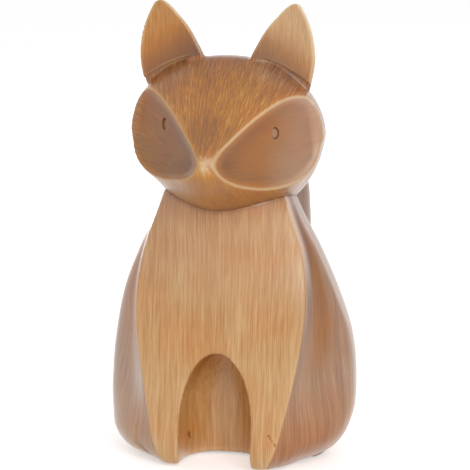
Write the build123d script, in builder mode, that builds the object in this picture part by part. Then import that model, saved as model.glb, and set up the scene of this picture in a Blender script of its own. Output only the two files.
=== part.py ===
from build123d import *
from math import cos, radians, sin
import os

os.makedirs("parts", exist_ok=True)

# A seated fox ornament, cast in resin, in millimetres.
# The fox looks along -Y and stands on the plane Z = 0.
# The origin lies under the middle of its outline.

# Body casting
body_height = 135.0
body_width = 118.0
body_front_reach = 40.5
body_back_reach = 43.5
body_wall = 6.0
flank_valley_share = 0.42

# Pocket between the forelegs
pocket_width = 34.4
pocket_height = 54.0
pocket_spring_height = 20.0
pocket_depth = 31.0
pocket_round = 16.0

# Head casting, without the ears
head_width = 93.4
head_height = 78.0
head_bottom_height = 113.5
nose_reach = 54.3
face_depth = 41.0
skull_depth = 36.8
mask_hollow = 2.4

# Ears: how far they stand from the middle, above the head's lowest point and behind the nose
ear_offset = 26.0
ear_half_width = 15.4
ear_rise = 60.5
ear_height = 41.6
ear_setback = 38.3
ear_thickness = 18.0
ear_lean = 1.5
ear_rim = 1.6

# Eye inlays, set square to the masks, above the head's lowest point and behind the nose
eye_offset = 26.4
eye_setback = 26.6
eye_rise = 45.4
eye_turn = 42.9
eye_lean = 8.1
eye_length = 5.4
eye_breadth = 3.7
eye_depth = 4.0
eye_groove = 0.4
eye_sink = 0.2
eye_round = 0.5

# Tail casting
tail_height = 164.0
tail_width = 54.0
tail_back_reach = 53.65
tail_depth = 27.4

# Joints between the castings, and the least way from the head back to the tail
glue_line = 0.2
head_to_tail = 1.0
overrun = 20.0
dowel_diameter = 12.0
dowel_length = 40.0
dowel_share_in_head = 0.5
dowel_reach = 6.0
dowel_clearance = 0.15
dowel_chamfer = 1.0
pin_diameter = 4.0
pin_depth_in_body = 4.0
pin_depth_in_tail = 8.0
pin_clearance = 0.1

# Underside: base plate, filling plug and felt pads
foot_gap = 1.0
pad_recess = 1.0
pad_diameter = 10.0
pad_clearance = 0.2
paw_pad_setback = 18.5
haunch_pad_inset = 19.0
haunch_pad_setback = 15.9
plate_thickness = 4.0
plate_step = 3.0
plate_clearance = 0.3
plug_diameter = 22.0
plug_head_diameter = 26.0
plug_head_thickness = 1.5
plug_length = 8.0
plug_reach = 14.0
plug_clearance = 0.1

# The body's outline at each height. Heights are shares of its height.
# Across: the ridge beside the front and the widest point, as shares of half its width.
# Along: the ridge, the chest and the widest point as shares of the front reach, the back of the back reach.
# Last comes how far the flank is hollowed behind the ridge, as a share of its length; below it swells.
body_row_shares = [
    (0.000, 0.407, 0.901, 0.926, 0.780, -0.150, 0.780, -0.060),
    (0.026, 0.444, 0.955, 0.978, 0.856, -0.040, 0.870, -0.090),
    (0.070, 0.488, 0.955, 0.990, 0.926, 0.080, 0.945, -0.115),
    (0.145, 0.532, 0.912, 0.955, 0.978, 0.120, 0.990, -0.075),
    (0.290, 0.607, 0.822, 0.872, 0.996, 0.075, 1.000, 0.020),
    (0.440, 0.666, 0.760, 0.823, 0.960, 0.064, 0.965, 0.075),
    (0.590, 0.685, 0.676, 0.778, 0.866, 0.184, 0.875, 0.085),
    (0.735, 0.644, 0.565, 0.750, 0.731, 0.234, 0.725, 0.085),
    (0.870, 0.542, 0.525, 0.800, 0.579, 0.277, 0.565, 0.070),
    (1.000, 0.449, 0.430, 0.820, 0.463, 0.302, 0.415, 0.060),
]
chamber_rows = 7

# The face from the nose tip back to the widest part of the cheeks.
# Along: shares of the face's depth. Across: shares of half the head's width.
# Heights: shares of the head's height, for the brow, its middle, the mask's lower rim and the chin.
# Then how far the chin runs flat, as a share of the rim's place, and the share of the mask's hollow.
face_row_shares = [
    (0.000, 0.041, 0.447, 0.453, 0.041, 0.408, 0.401, 0.50, 0.03),
    (0.055, 0.091, 0.468, 0.483, 0.134, 0.350, 0.329, 0.50, 0.25),
    (0.151, 0.168, 0.514, 0.540, 0.251, 0.299, 0.258, 0.48, 0.55),
    (0.294, 0.283, 0.588, 0.624, 0.402, 0.271, 0.178, 0.45, 0.80),
    (0.438, 0.400, 0.657, 0.709, 0.546, 0.263, 0.126, 0.42, 1.00),
    (0.581, 0.521, 0.716, 0.791, 0.683, 0.273, 0.086, 0.40, 1.00),
    (0.725, 0.646, 0.760, 0.876, 0.812, 0.304, 0.055, 0.43, 0.95),
    (0.844, 0.756, 0.772, 0.945, 0.907, 0.356, 0.032, 0.50, 0.75),
    (0.940, 0.855, 0.748, 0.987, 0.963, 0.430, 0.019, 0.60, 0.30),
    (1.000, 0.937, 0.679, 0.997, 0.998, 0.526, 0.010, 0.68, -0.25),
]
# The skull behind it, the same way, as shares of its own depth. Here the sides swell.
skull_row_shares = [
    (0.000, *face_row_shares[-1][1:]),
    (0.180, 0.933, 0.667, 0.993, 0.985, 0.519, 0.004, 0.74, -0.30),
    (0.400, 0.896, 0.647, 0.963, 0.942, 0.500, 0.000, 0.78, -0.35),
    (0.650, 0.778, 0.615, 0.878, 0.821, 0.468, 0.038, 0.78, -0.35),
    (0.850, 0.583, 0.583, 0.769, 0.626, 0.442, 0.122, 0.78, -0.30),
    (0.970, 0.324, 0.551, 0.660, 0.356, 0.423, 0.250, 0.78, -0.20),
    (1.000, 0.173, 0.532, 0.603, 0.194, 0.436, 0.327, 0.78, -0.10),
]

# The tail. Heights are shares of its height, the rest of half its width, its back reach and half its depth.
tail_row_shares = [
    (0.000, 0.780, 0.900, 0.760),
    (0.095, 0.930, 0.985, 1.000),
    (0.300, 1.000, 1.000, 1.000),
    (0.520, 1.000, 0.990, 1.000),
    (0.670, 1.000, 0.955, 0.900),
    (0.765, 0.955, 0.905, 0.780),
    (0.865, 0.740, 0.840, 0.640),
    (0.950, 0.400, 0.770, 0.420),
    (1.000, 0.110, 0.700, 0.150),
]

# One ear's level outline at each height, from its root in the head to its tip.
# Shares of its height, then of its half width for the inner and the outer edge, then of its thickness.
ear_row_shares = [
    (-0.25, -0.62, 0.50, 1.00),
    (0.00, -0.86, 0.80, 1.00),
    (0.20, -0.95, 0.95, 0.84),
    (0.39, -0.97, 1.02, 0.66),
    (0.56, -0.74, 0.98, 0.51),
    (0.71, -0.49, 0.89, 0.39),
    (0.86, -0.13, 0.73, 0.28),
    (0.95, 0.10, 0.60, 0.21),
    (1.00, 0.23, 0.53, 0.165),
]


def body_outline(row, inset):
    """One level outline of the body, drawn as its right half and mirrored."""
    rise, ridge_x, ridge_y, chest_y, side_x, side_y, back_y, hollow = row
    half = body_width / 2
    ridge = Vector(ridge_x * half - inset, -ridge_y * body_front_reach + inset)
    side = Vector(side_x * half - inset, -side_y * body_front_reach)
    chest = -chest_y * body_front_reach + inset
    back = back_y * body_back_reach - inset
    chord = side - ridge
    valley = ridge + chord * flank_valley_share + Vector(-chord.Y, chord.X) * hollow
    with BuildSketch(Plane.XY.offset(foot_gap + rise * body_height)) as outline:
        with BuildLine():
            TangentArc((0, chest), (ridge.X, ridge.Y), tangent=(1, 0))
            Spline(
                (ridge.X, ridge.Y),
                (valley.X, valley.Y),
                (side.X, side.Y),
                tangents=[valley - ridge, (0, 1)],
            )
            EllipticalCenterArc((0, side.Y), side.X, back - side.Y, start_angle=0, arc_size=90)
            mirror(about=Plane.YZ)
        make_face()
    return outline.sketch


def head_outline(row, start, depth):
    """One upright outline of the head, seen from the front: brow, mask or cheek, and chin."""
    along, brow_x, brow_z, crown_z, rim_x, rim_z, chin_z, jaw, hollow = row
    half = head_width / 2
    brow = Vector(brow_x * half, head_bottom_height + brow_z * head_height)
    rim = Vector(rim_x * half, head_bottom_height + rim_z * head_height)
    crown = head_bottom_height + crown_z * head_height
    chin = head_bottom_height + chin_z * head_height
    middle = (brow + rim) / 2 - Vector(hollow * mask_hollow, 0)
    with BuildSketch(Plane.XZ.offset(-(start + along * depth))) as outline:
        with BuildLine():
            TangentArc((0, crown), (brow.X, brow.Y), tangent=(1, 0))
            ThreePointArc((brow.X, brow.Y), (middle.X, middle.Y), (rim.X, rim.Y))
            Bezier((0, chin), (jaw * rim.X, chin), (rim.X, rim.Y))
            mirror(about=Plane.YZ)
        make_face()
    return outline.sketch


def ear_outline(row):
    """One level outline of an ear: flat in front, round behind, with a narrow rim at each side."""
    rise, inner, outer, thick = row
    middle = ear_offset + (inner + outer) / 2 * ear_half_width
    half = (outer - inner) / 2 * ear_half_width
    front = ear_setback - nose_reach + rise * ear_lean
    with BuildSketch(Plane.XY.offset(head_bottom_height + ear_rise + rise * ear_height)) as outline:
        with BuildLine():
            Line((middle + half, front + ear_rim), (middle + half, front))
            Line((middle + half, front), (middle - half, front))
            Line((middle - half, front), (middle - half, front + ear_rim))
            EllipticalCenterArc(
                (middle, front + ear_rim),
                half,
                thick * ear_thickness - ear_rim,
                start_angle=0,
                arc_size=180,
            )
        make_face()
    return outline.sketch


# Outer form of the body, before anything is cut from it
with BuildPart() as body_form:
    loft(sections=[body_outline(row, 0) for row in body_row_shares])

# Outer form of the head: the face and the skull meet at the widest part of the cheeks
with BuildPart() as head_form:
    loft(sections=[head_outline(row, -nose_reach, face_depth) for row in face_row_shares])
    loft(sections=[head_outline(row, face_depth - nose_reach, skull_depth) for row in skull_row_shares])

# One ear, leaning back and thinner towards its tip
with BuildPart() as ear_form:
    loft(sections=[ear_outline(row) for row in ear_row_shares])

# Shared places of the joints
eye_normal = Vector(
    sin(radians(eye_turn)) * cos(radians(eye_lean)),
    -cos(radians(eye_turn)) * cos(radians(eye_lean)),
    sin(radians(eye_lean)),
)
eye_up = Vector(0, 0, 1) - eye_normal * eye_normal.Z
eye_seat = Plane(
    origin=(eye_offset, eye_setback - nose_reach, head_bottom_height + eye_rise),
    x_dir=eye_up.cross(eye_normal),
    z_dir=eye_normal,
)
dowel_bottom = head_bottom_height - dowel_length * (1 - dowel_share_in_head)
dowel_floor = Plane(origin=(0, -dowel_reach, dowel_bottom))
dowel_ceiling = dowel_floor.offset(dowel_length + dowel_clearance)
dowel_hole_diameter = dowel_diameter + 2 * dowel_clearance
pin_hole_diameter = pin_diameter + 2 * pin_clearance
pin_rows = [body_row_shares[4], body_row_shares[6]]
pocket_back = pocket_depth - body_front_reach
chamber_front = pocket_back + body_wall
pad_seat_diameter = pad_diameter + 2 * pad_clearance
foot = body_row_shares[0]
paw_pad_offset = foot[1] * body_width / 2
paw_pad_place = paw_pad_setback - foot[2] * body_front_reach
haunch_pad_offset = foot[4] * body_width / 2 - haunch_pad_inset
haunch_pad_place = foot[6] * body_back_reach - haunch_pad_setback
paw_places = [(-paw_pad_offset, paw_pad_place), (paw_pad_offset, paw_pad_place)]
haunch_places = [(-haunch_pad_offset, haunch_pad_place), (haunch_pad_offset, haunch_pad_place)]


def pin_plane(row):
    """Where a tail pin ends inside the back of the body, looking backwards."""
    height = foot_gap + row[0] * body_height
    return Plane(origin=(0, row[6] * body_back_reach - pin_depth_in_body, height), z_dir=(0, 1, 0))


# Recess for an eye, open to the front of the mask
with BuildPart() as eye_recess:
    with BuildSketch(eye_seat.offset(-eye_depth)):
        Ellipse(eye_breadth / 2 + eye_groove, eye_length / 2 + eye_groove)
    extrude(amount=2 * eye_depth)

# Pocket between the forelegs: an arch in front, rounded at its back
with BuildPart() as pocket:
    with BuildSketch(Plane.XZ.offset(-pocket_back)):
        with BuildLine():
            Line((-pocket_width / 2, pocket_spring_height), (-pocket_width / 2, -overrun))
            Line((-pocket_width / 2, -overrun), (pocket_width / 2, -overrun))
            Line((pocket_width / 2, -overrun), (pocket_width / 2, pocket_spring_height))
            EllipticalCenterArc(
                (0, pocket_spring_height),
                pocket_width / 2,
                pocket_height - pocket_spring_height,
                start_angle=0,
                arc_size=180,
            )
        make_face()
    extrude(amount=pocket_depth + overrun)
    pocket_rear = pocket.faces().sort_by(Axis.Y)[-1]
    fillet(pocket_rear.edges().sort_by(Axis.Z)[1:], pocket_round)

# Hollow of the body, behind the forelegs and the pocket
with BuildPart() as chamber:
    loft(sections=[body_outline(row, body_wall) for row in body_row_shares[:chamber_rows]])
    with BuildSketch(Plane.XY.offset(foot_gap)):
        with Locations((0, chamber_front - body_front_reach)):
            Rectangle(body_width, 2 * body_front_reach)
    extrude(amount=pocket_height + body_wall, mode=Mode.SUBTRACT)


def plate_form(inset, front):
    """Slab that fills the step under the hollow."""
    with BuildPart() as slab:
        extrude(body_outline(body_row_shares[0], inset), amount=plate_thickness)
        with BuildSketch(Plane.XY.offset(foot_gap)):
            with Locations((0, front - body_front_reach)):
                Rectangle(body_width, 2 * body_front_reach)
        extrude(amount=plate_thickness, mode=Mode.SUBTRACT)
    return slab.part


# Body casting
with BuildPart() as body:
    add(body_form.part)
    add(head_form.part.moved(Location((0, 0, -glue_line))), mode=Mode.SUBTRACT)
    add(pocket.part, mode=Mode.SUBTRACT)
    add(chamber.part, mode=Mode.SUBTRACT)
    add(plate_form(body_wall - plate_step, chamber_front - plate_step), mode=Mode.SUBTRACT)
    with BuildSketch(dowel_floor):
        Circle(dowel_hole_diameter / 2)
    extrude(amount=dowel_length, mode=Mode.SUBTRACT)
    for row in pin_rows:
        with BuildSketch(pin_plane(row)):
            Circle(pin_hole_diameter / 2)
        extrude(amount=pin_depth_in_body + overrun, mode=Mode.SUBTRACT)
    with BuildSketch(Plane.XY.offset(foot_gap)):
        with Locations(*paw_places):
            Circle(pad_seat_diameter / 2)
    extrude(amount=pad_recess, mode=Mode.SUBTRACT)
body.part.label = "body"
export_step(body.part, "parts/body.step")

# Head casting
with BuildPart() as head:
    add(head_form.part)
    add(ear_form.part)
    add(ear_form.part.mirror(Plane.YZ))
    add(eye_recess.part, mode=Mode.SUBTRACT)
    add(eye_recess.part.mirror(Plane.YZ), mode=Mode.SUBTRACT)
    with BuildSketch(dowel_ceiling):
        Circle(dowel_hole_diameter / 2)
    extrude(amount=-dowel_length, mode=Mode.SUBTRACT)
head.part.label = "head"
export_step(head.part, "parts/head.step")

# Tail casting, hollowed in front to the shape of the back, and to the head's where that comes near
with BuildPart() as tail:
    for rise, wide, back, deep in tail_row_shares:
        half_depth = deep * tail_depth / 2
        with BuildSketch(Plane.XY.offset(foot_gap + rise * tail_height)):
            with BuildLine():
                EllipticalCenterArc(
                    (0, back * tail_back_reach - half_depth),
                    wide * tail_width / 2,
                    half_depth,
                    start_angle=-90,
                    arc_size=180,
                )
                mirror(about=Plane.YZ)
            make_face()
    loft()
    add(body_form.part.moved(Location((0, glue_line, 0))), mode=Mode.SUBTRACT)
    add(head_form.part.moved(Location((0, head_to_tail, 0))), mode=Mode.SUBTRACT)
    for row in pin_rows:
        with BuildSketch(pin_plane(row)):
            Circle(pin_hole_diameter / 2)
        extrude(amount=pin_depth_in_body + pin_depth_in_tail + pin_clearance, mode=Mode.SUBTRACT)
tail.part.label = "tail"
export_step(tail.part, "parts/tail.step")

# Eye inlays, slightly domed, sunk a little below the masks
with BuildPart() as eye_left:
    with BuildSketch(eye_seat.offset(-eye_depth)):
        Ellipse(eye_breadth / 2, eye_length / 2)
    extrude(amount=eye_depth - eye_sink)
    fillet(eye_left.edges().sort_by(Axis(eye_seat.origin, eye_normal))[-1], eye_round)
eye_left.part.label = "eye_left"
export_step(eye_left.part, "parts/eye_left.step")

with BuildPart() as eye_right:
    add(eye_left.part.mirror(Plane.YZ))
eye_right.part.label = "eye_right"
export_step(eye_right.part, "parts/eye_right.step")

# Dowel that centres the head on the neck
with BuildPart() as neck_dowel:
    with BuildSketch(dowel_floor):
        Circle(dowel_diameter / 2)
    extrude(amount=dowel_length)
    chamfer(neck_dowel.edges().filter_by(GeomType.CIRCLE), dowel_chamfer)
neck_dowel.part.label = "neck_dowel"
export_step(neck_dowel.part, "parts/neck_dowel.step")

# Steel pins that hold the tail to the back
for name, row in zip(["tail_pin_lower", "tail_pin_upper"], pin_rows):
    with BuildPart() as tail_pin:
        with BuildSketch(pin_plane(row)):
            Circle(pin_diameter / 2)
        extrude(amount=pin_depth_in_body + pin_depth_in_tail)
    tail_pin.part.label = name
    export_step(tail_pin.part, f"parts/{name}.step")

# Base plate under the hollow, with the filling hole and seats for two pads
with BuildPart() as base_plate:
    add(plate_form(body_wall - plate_step + plate_clearance, chamber_front - plate_step + plate_clearance))
    with BuildSketch(Plane.XY.offset(foot_gap)):
        with Locations((0, plug_reach)):
            Circle(plug_diameter / 2 + plug_clearance)
    extrude(amount=plate_thickness, mode=Mode.SUBTRACT)
    with BuildSketch(Plane.XY.offset(foot_gap)):
        with Locations((0, plug_reach)):
            Circle(plug_head_diameter / 2 + plug_clearance)
    extrude(amount=plug_head_thickness, mode=Mode.SUBTRACT)
    with BuildSketch(Plane.XY.offset(foot_gap)):
        with Locations(*haunch_places):
            Circle(pad_seat_diameter / 2)
    extrude(amount=pad_recess, mode=Mode.SUBTRACT)
base_plate.part.label = "base_plate"
export_step(base_plate.part, "parts/base_plate.step")

# Rubber plug of the filling hole, flush with the plate
with BuildPart() as pour_plug:
    with BuildSketch(Plane.XY.offset(foot_gap)):
        with Locations((0, plug_reach)):
            Circle(plug_head_diameter / 2)
    extrude(amount=plug_head_thickness)
    with BuildSketch(Plane.XY.offset(foot_gap)):
        with Locations((0, plug_reach)):
            Circle(plug_diameter / 2)
    extrude(amount=plug_length)
pour_plug.part.label = "pour_plug"
export_step(pour_plug.part, "parts/pour_plug.step")

# Felt pads that the ornament stands on
pad_names = ["felt_pad_paw_right", "felt_pad_paw_left", "felt_pad_haunch_right", "felt_pad_haunch_left"]
for name, place in zip(pad_names, paw_places + haunch_places):
    with BuildPart() as felt_pad:
        with BuildSketch(Plane.XY):
            with Locations(place):
                Circle(pad_diameter / 2)
        extrude(amount=foot_gap + pad_recess)
    felt_pad.part.label = name
    export_step(felt_pad.part, f"parts/{name}.step")
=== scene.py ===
import math

import bpy
import numpy as np
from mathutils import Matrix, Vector


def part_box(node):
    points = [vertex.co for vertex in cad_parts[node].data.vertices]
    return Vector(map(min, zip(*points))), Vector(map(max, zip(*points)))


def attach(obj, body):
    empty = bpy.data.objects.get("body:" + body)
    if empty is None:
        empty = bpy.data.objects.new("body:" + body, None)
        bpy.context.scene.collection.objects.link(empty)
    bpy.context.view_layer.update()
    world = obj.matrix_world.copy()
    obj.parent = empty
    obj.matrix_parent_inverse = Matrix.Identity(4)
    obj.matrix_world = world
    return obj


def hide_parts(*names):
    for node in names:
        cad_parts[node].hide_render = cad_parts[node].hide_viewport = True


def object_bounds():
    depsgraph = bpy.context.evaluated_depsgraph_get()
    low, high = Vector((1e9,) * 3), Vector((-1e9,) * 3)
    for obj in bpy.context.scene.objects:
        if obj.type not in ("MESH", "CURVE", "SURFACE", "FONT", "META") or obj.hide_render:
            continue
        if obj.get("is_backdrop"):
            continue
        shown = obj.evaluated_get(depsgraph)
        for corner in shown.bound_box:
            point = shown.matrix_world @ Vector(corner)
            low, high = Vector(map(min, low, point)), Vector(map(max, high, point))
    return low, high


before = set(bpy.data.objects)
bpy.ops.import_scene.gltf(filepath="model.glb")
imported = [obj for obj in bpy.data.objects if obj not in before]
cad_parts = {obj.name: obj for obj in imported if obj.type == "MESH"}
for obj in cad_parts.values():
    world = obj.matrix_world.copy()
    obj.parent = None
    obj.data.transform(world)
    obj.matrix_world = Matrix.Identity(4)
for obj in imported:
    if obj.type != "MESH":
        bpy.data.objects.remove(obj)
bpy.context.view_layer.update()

# A seated fox ornament: painted resin castings worked out in millimetres, put into the frame in metres.
# The fox looks along -Y and stands on the plane Z = 0.
metre = 0.001

# Body casting, sizes in millimetres
body_height = 135.0
body_width = 118.0
body_front_reach = 40.5
body_back_reach = 43.5
flank_valley_share = 0.42
foot_gap = 1.0
glue_line = 0.2

# Pocket between the forelegs
pocket_width = 34.4
pocket_height = 54.0
pocket_spring_height = 20.0
pocket_depth = 31.0
pocket_round = 16.0

# Head casting
head_width = 93.4
head_height = 78.0
head_bottom_height = 113.5
nose_reach = 54.3
face_depth = 41.0
skull_depth = 36.8
face_seam = face_depth - nose_reach
mask_hollow = 2.4

# Ears, and the arc of the forehead's crest where they start
ear_offset = 26.0
ear_half_width = 15.4
ear_base_height = 174.0
ear_height = 41.6
ear_face_reach = 16.0
ear_lean = 1.5
ear_thickness = 18.0
ear_rim = 1.6
ear_scoop = 1.3
crest_height = 192.2
crest_radius = 64.0
root_height = 190.5
root_radius = 51.9
cove_depth = 1.8
cove_slope = 0.8

# Eye inlays, set square to the masks
eye_offset = 26.4
eye_reach = 27.7
eye_height = 158.9
eye_turn = 42.9
eye_lean = 8.1
eye_length = 5.4
eye_breadth = 3.7
eye_depth = 4.0
eye_groove = 0.1
eye_line = 0.05
eye_line_depth = 0.4
eye_sink = 0.5
# How far the left and the right eye sit across and above their matched places, as cast
eye_stray = {1: (-0.2, -1.1), -1: (0.7, 1.2)}

# Masks: the rim stands proud and the field inside it lies deeper, rounded off towards the nose
mask_rim_rise = 0.25
mask_field_depth = 0.5
mask_rim_breadth = 2.2
mask_corner = 1.7
nose_height = head_bottom_height + 0.43 * head_height

# Tail casting
tail_height = 164.0
tail_width = 54.0
tail_back_reach = 53.65
tail_depth = 27.4

# Underside
pad_diameter = 10.0
pad_clearance = 0.2
pad_recess = 1.0
paw_pad_offset = 24.0
paw_pad_reach = 18.0
seat_inset = 3.0
seat_front = 6.5
seat_depth = 4.0

# The foot of the flanks strays towards the fox's right, below this height
foot_stray = 4.6
foot_stray_height = 26.0

casting_skins = {
    "head": ((0.62, 8), (1.2, 4)),
    "body": ((0.85, 5), (1.6, 3)),
    "tail": ((0.8, 6), (1.6, 3)),
}

# Tones of the paint before washes, painted shade and light lines, from 0 for dark to 1 for light
chest_tone = 0.80
flank_tone = 0.675
# The pocket's tone is lighter than the chest's: painted light against the shade in it
pocket_tone_painted_light = 0.815
forehead_tone = 0.675
mask_tone = 0.615
chin_tone = 0.695
skull_tone = 0.64
ear_tone = 0.505
tail_tone = 0.58
eye_tone = 0.6

# The painter's marks, and how they are set where nothing else is said
mark_names = ("tone", "wash_and_shade", "ridge", "picked", "warmth", "brushed", "glazed")
brush_length = 34.0
usual_brush = 1.25
far_from_ridge = 9.0
mark_reach = 14.0
paint_edge = 0.35
body_line_fineness = 1.35

# Rise, then across: ridge and side; along: ridge, chest, side and back; last the flank's hollow
body_row_shares = [
    (0.000, 0.407, 0.901, 0.926, 0.780, -0.150, 0.780, -0.060),
    (0.026, 0.444, 0.955, 0.978, 0.856, -0.040, 0.870, -0.090),
    (0.070, 0.488, 0.955, 0.990, 0.926, 0.080, 0.945, -0.115),
    (0.145, 0.532, 0.912, 0.955, 0.978, 0.120, 0.990, -0.075),
    (0.290, 0.607, 0.822, 0.872, 0.996, 0.075, 1.000, 0.020),
    (0.440, 0.666, 0.760, 0.823, 0.960, 0.064, 0.965, 0.075),
    (0.590, 0.685, 0.676, 0.778, 0.866, 0.184, 0.875, 0.085),
    (0.735, 0.644, 0.565, 0.750, 0.731, 0.234, 0.725, 0.085),
    (0.870, 0.542, 0.525, 0.800, 0.579, 0.277, 0.565, 0.070),
    (1.000, 0.449, 0.430, 0.820, 0.463, 0.302, 0.415, 0.060),
]

# Depth, then brow across and up, crown, rim across and up, chin and its flat run; last the mask's hollow
face_row_shares = [
    (0.000, 0.041, 0.447, 0.453, 0.041, 0.408, 0.401, 0.50, 0.03),
    (0.055, 0.091, 0.468, 0.483, 0.134, 0.350, 0.329, 0.50, 0.25),
    (0.151, 0.168, 0.514, 0.540, 0.251, 0.299, 0.258, 0.48, 0.55),
    (0.294, 0.283, 0.588, 0.624, 0.402, 0.271, 0.178, 0.45, 0.80),
    (0.438, 0.400, 0.657, 0.709, 0.546, 0.263, 0.126, 0.42, 1.00),
    (0.581, 0.521, 0.716, 0.791, 0.683, 0.273, 0.086, 0.40, 1.00),
    (0.725, 0.646, 0.760, 0.876, 0.812, 0.304, 0.055, 0.43, 0.95),
    (0.844, 0.756, 0.772, 0.945, 0.907, 0.356, 0.032, 0.50, 0.75),
    (0.940, 0.855, 0.748, 0.987, 0.963, 0.430, 0.019, 0.60, 0.30),
    (1.000, 0.937, 0.679, 0.997, 0.998, 0.526, 0.010, 0.68, -0.25),
]
skull_row_shares = [
    (0.000, *face_row_shares[-1][1:]),
    (0.180, 0.933, 0.667, 0.993, 0.985, 0.519, 0.004, 0.74, -0.30),
    (0.400, 0.896, 0.647, 0.963, 0.942, 0.500, 0.000, 0.78, -0.35),
    (0.650, 0.778, 0.615, 0.878, 0.821, 0.468, 0.038, 0.78, -0.35),
    (0.850, 0.583, 0.583, 0.769, 0.626, 0.442, 0.122, 0.78, -0.30),
    (0.970, 0.324, 0.551, 0.660, 0.356, 0.423, 0.250, 0.78, -0.20),
    (1.000, 0.173, 0.532, 0.603, 0.194, 0.436, 0.327, 0.78, -0.10),
]

# Rise, half width, back reach and depth of the tail
tail_row_shares = [
    (0.000, 0.780, 0.900, 0.760),
    (0.095, 0.930, 0.985, 1.000),
    (0.300, 1.000, 1.000, 1.000),
    (0.520, 1.000, 0.990, 1.000),
    (0.670, 1.000, 0.955, 0.900),
    (0.765, 0.955, 0.905, 0.780),
    (0.865, 0.740, 0.840, 0.640),
    (0.950, 0.400, 0.770, 0.420),
    (1.000, 0.110, 0.700, 0.150),
]

# Rise of the ear, its inner and outer edge and its thickness, from the root to the tip
ear_row_shares = [
    (-0.25, -0.62, 0.50, 1.000),
    (0.00, -0.86, 0.80, 1.000),
    (0.20, -0.95, 0.95, 0.840),
    (0.39, -0.97, 1.02, 0.660),
    (0.56, -0.74, 0.98, 0.510),
    (0.71, -0.49, 0.89, 0.390),
    (0.86, -0.13, 0.73, 0.280),
    (0.94, 0.08, 0.62, 0.210),
    (0.98, 0.23, 0.54, 0.180),
    (1.00, 0.34, 0.46, 0.150),
]


def smoothstep(low, high, value):
    t = np.clip((value - low) / (high - low), 0, 1)
    return t * t * (3 - 2 * t)


def fading(low, high, value):
    """One up to the low value, falling smoothly to nothing at the high value."""
    return 1 - smoothstep(low, high, value)


def bell(value, breadth):
    """One at nothing, falling away on both sides over the breadth."""
    return np.exp(-((value / breadth) ** 2))


def carried(shares, steps):
    """Every column of a table carried smoothly between its rows: cubic curves whose slope at a row
    is the column's finite difference there, read at so many steps in each interval."""
    rows = np.array(shares)
    place = rows[:, 0]
    slope = np.gradient(rows, place, axis=0, edge_order=2)
    index = np.append(np.repeat(np.arange(len(place) - 1), steps), len(place) - 2)
    t = np.append(np.tile(np.arange(steps) / steps, len(place) - 1), 1.0)[:, None]
    gap = (place[index + 1] - place[index])[:, None]
    held = (1 + 2 * t) * (1 - t) ** 2 * rows[index] + t**2 * (3 - 2 * t) * rows[index + 1]
    bent = t * (1 - t) ** 2 * slope[index] + t**2 * (t - 1) * slope[index + 1]
    return (held + gap * bent).T[:, :, None]


def tangent_arc(start, end, t):
    """Circular arc that leaves the middle line square to it at height start and ends at the point end."""
    fall = end.imag - start
    radius = abs(end - 1j * start) ** 2 / (2 * fall)
    turn = 2 * np.arctan2(fall, end.real) * t
    return radius * np.sin(turn) + 1j * (start + radius * (1 - np.cos(turn)))


def cubic_span(start, end, start_way, end_way, t):
    """Cubic curve between two points with the given directions, as long as its chord."""
    length = abs(end - start)
    held = (1 + 2 * t) * (1 - t) ** 2 * start + t**2 * (3 - 2 * t) * end
    return held + length * (t * (1 - t) ** 2 * start_way + t**2 * (t - 1) * end_way)


def whole_ring(half):
    """A half outline, from front to back, closed by its mirror image."""
    return np.concatenate([half, -np.conj(half[:, -2:0:-1])], axis=1)


# Columns of the body's outlines: the front ridge, and the widest point of the flank
ridge_column = 22
widest_column = 3 * ridge_column


def body_level(rows, inset):
    """The body's outline at each row: a round chest, a flank hollowed behind the ridge, a round back."""
    _, ridge_x, ridge_y, chest_y, side_x, side_y, back_y, hollow = rows
    half = body_width / 2
    ridge = ridge_x * half - inset + 1j * (inset - ridge_y * body_front_reach)
    side = side_x * half - inset - 1j * side_y * body_front_reach
    chest = inset - chest_y * body_front_reach
    back = back_y * body_back_reach - inset
    chord = side - ridge
    valley = ridge + chord * flank_valley_share + 1j * chord * hollow
    first, second = valley - ridge, side - valley
    near, far = abs(first), abs(second)
    way = 3 * (first * far / near + second * near / far) - far * first / near - near * 1j
    way = way / (2 * (near + far))
    t = np.linspace(0, 1, ridge_column, endpoint=False)[None, :]
    turn = np.linspace(0, math.pi / 2, 45)[None, :]
    front = tangent_arc(chest, ridge, t)
    flank = cubic_span(ridge, valley, first / near, way, t)
    shoulder = cubic_span(valley, side, way, 1j, t)
    rump = side.real * np.cos(turn) + 1j * (side.imag + (back - side.imag) * np.sin(turn))
    return whole_ring(np.concatenate([front, flank, shoulder, rump], axis=1))


def ringed(across, along, height):
    """Rings of points from their three coordinates, each spread over the whole form."""
    return np.stack(np.broadcast_arrays(across, along, height), axis=2)


def body_rings():
    """The body's level outlines carried from the foot up into the head."""
    rows = carried(body_row_shares, 14)
    level = body_level(rows, 0)
    return ringed(level.real, level.imag, foot_gap + rows[0] * body_height)


# Columns of the head's outlines: the brow ridge, and the lower rim of the mask
brow_column = 24
rim_column = 2 * brow_column
head_steps = 12


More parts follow.
